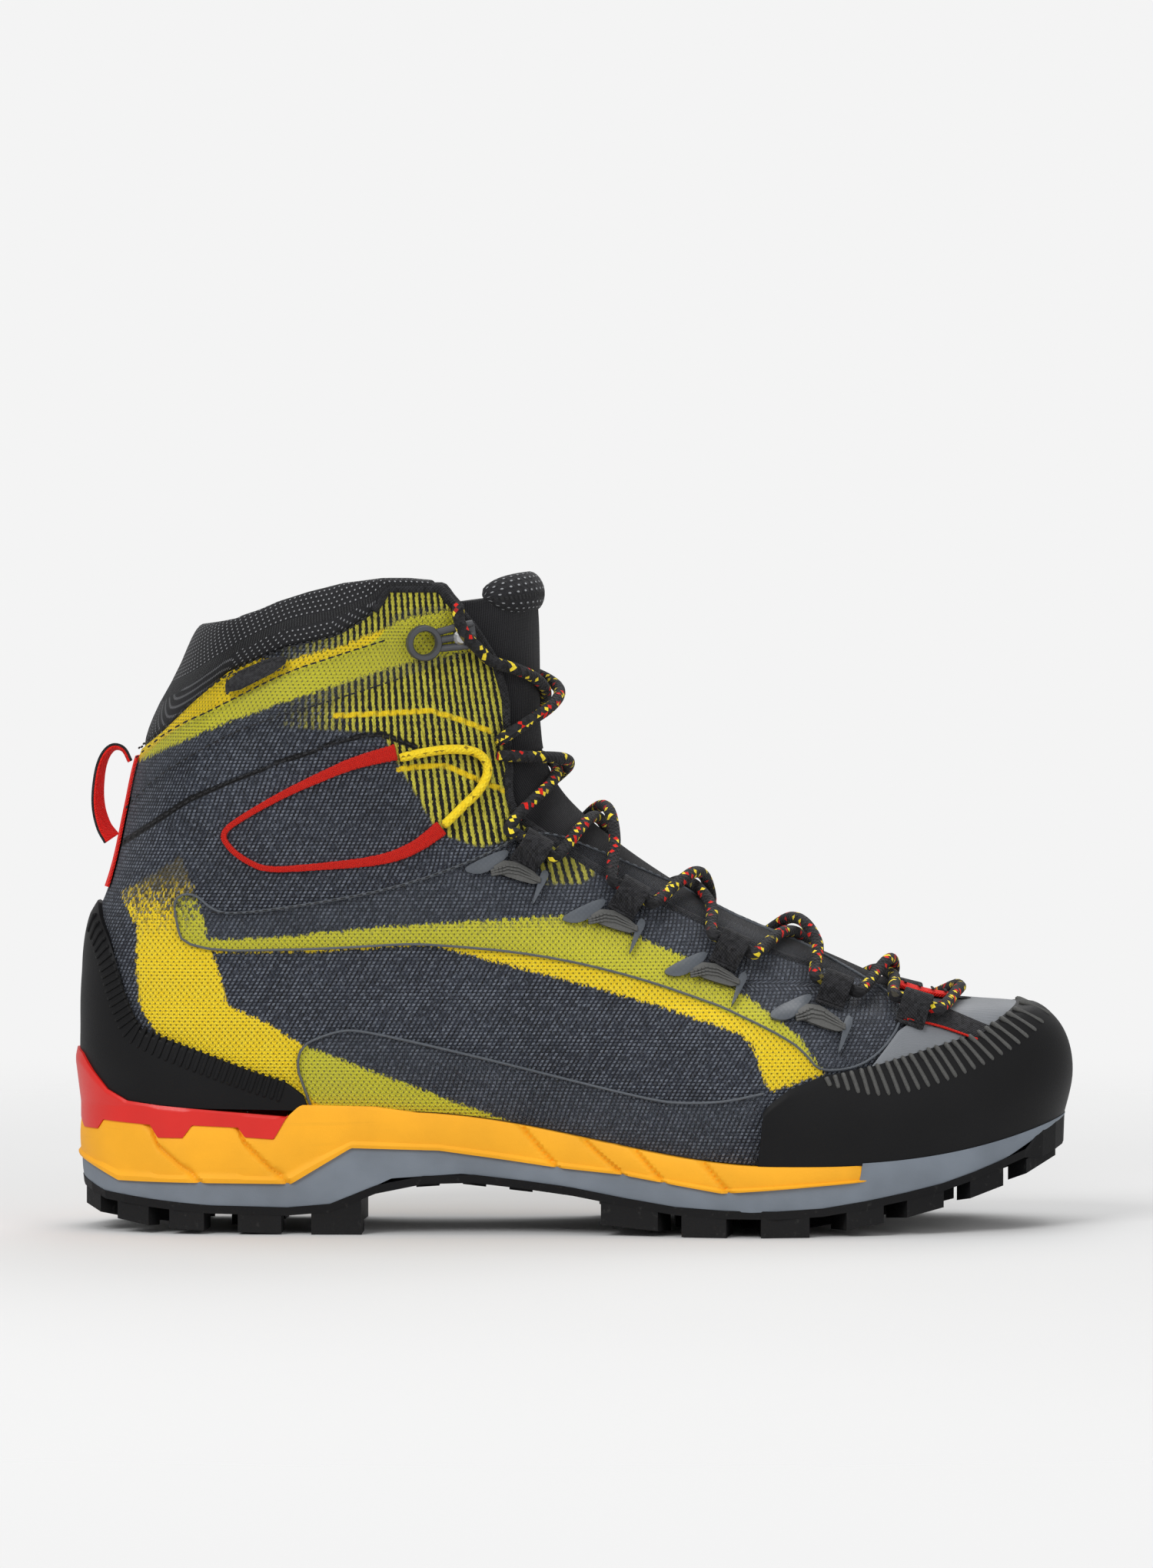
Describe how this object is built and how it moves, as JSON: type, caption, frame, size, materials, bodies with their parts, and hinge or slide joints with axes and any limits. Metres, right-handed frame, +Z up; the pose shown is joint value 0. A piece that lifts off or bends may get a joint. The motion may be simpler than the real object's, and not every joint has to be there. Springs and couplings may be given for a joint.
{
  "type": "mountaineering boot",
  "caption": "Lace-up mountaineering boot for the right foot: lugged sole, rubber rands, knitted upper with film overlays, padded flexing cuff, tongue, laces and pull loop.",
  "frame": {"origin": "centre of the boot's bounding box in plan, on the ground plane under the tread", "axes": "+X to the toe, +Y to the medial (inner) side, +Z up"},
  "size_m": [0.3006, 0.1048, 0.1981],
  "materials": {
    "rubber": "matt",
    "grey_foam": "matt",
    "yellow_foam": "matt",
    "red_plastic": "satin",
    "board": "matt",
    "steel": "satin",
    "footbed": "matt",
    "stiffener": "matt",
    "knit": "knitted",
    "lining": "mesh",
    "film": "translucent satin",
    "black_fabric": "woven",
    "red_fabric": "woven",
    "yellow_cord": "braided",
    "hook_plastic": "satin"
  },
  "bodies": {
    "boot": {"outsole": "rubber", "toe_rand": "rubber", "heel_rand": "rubber", "midsole_grey": "grey_foam", "midsole_yellow": "yellow_foam", "heel_insert": "red_plastic", "lasting_board": "board", "shank": "steel", "footbed": "footbed", "heel_counter": "stiffener", "toe_puff": "stiffener", "upper_knit": "knit", "ankle_flex_panel": "knit", "lining_lower": "lining", "toe_film": "film", "cage_film_lateral": "film", "cage_film_medial": "film", "side_film_lateral": "film", "side_film_medial": "film", "tongue_base": "black_fabric", "tongue_bend": "black_fabric", "lace_lower_a": "black_fabric", "lace_lower_b": "black_fabric", "lace_ankle_a": "black_fabric", "lace_ankle_b": "black_fabric", "lace_loop_1_lateral": "black_fabric", "lace_loop_1_medial": "black_fabric", "lace_loop_2_lateral": "black_fabric", "lace_loop_2_medial": "black_fabric", "lace_loop_3_lateral": "black_fabric", "lace_loop_3_medial": "black_fabric", "lace_loop_4_lateral": "black_fabric", "lace_loop_4_medial": "black_fabric", "lace_loop_5_lateral": "black_fabric", "lace_loop_5_medial": "black_fabric", "throat_tab": "red_fabric", "ankle_cord_lateral": "yellow_cord", "ankle_cord_medial": "yellow_cord"},
    "cuff": {"cuff_knit": "knit", "cuff_lining": "lining", "collar_padding": "lining", "collar_tag": "black_fabric", "back_tape": "red_fabric", "strap_film_lateral": "film", "strap_film_medial": "film", "hook_lateral": "hook_plastic", "hook_medial": "hook_plastic", "hook_rivet_lateral": "hook_plastic", "hook_rivet_medial": "hook_plastic", "lace_upper_a": "black_fabric", "lace_upper_b": "black_fabric"},
    "tongue": {"tongue_upper": "black_fabric", "tongue_roll": "black_fabric"},
    "pull_strap": {"pull_loop": "black_fabric"}
  },
  "joints": [
    {"name": "cuff_flex", "type": "hinge", "parent": "boot", "child": "cuff", "pos_m": [-0.0784, -0.0018, 0.112], "axis": [0, 1, 0], "range_deg": [-5, 8], "deforming": ["ankle_flex_panel", "tongue_bend", "lace_ankle_a", "lace_ankle_b", "ankle_cord_lateral", "ankle_cord_medial"]},
    {"name": "tongue_tilt", "type": "hinge", "parent": "cuff", "child": "tongue", "pos_m": [-0.0104, -0.0018, 0.143], "axis": [0, 1, 0], "range_deg": [-8, 0]},
    {"name": "pull_loop_swing", "type": "hinge", "parent": "cuff", "child": "pull_strap", "pos_m": [-0.1382, -0.0018, 0.1289], "axis": [0.2327, 0, 0.9725], "range_deg": [-12, 12]}
  ]
}
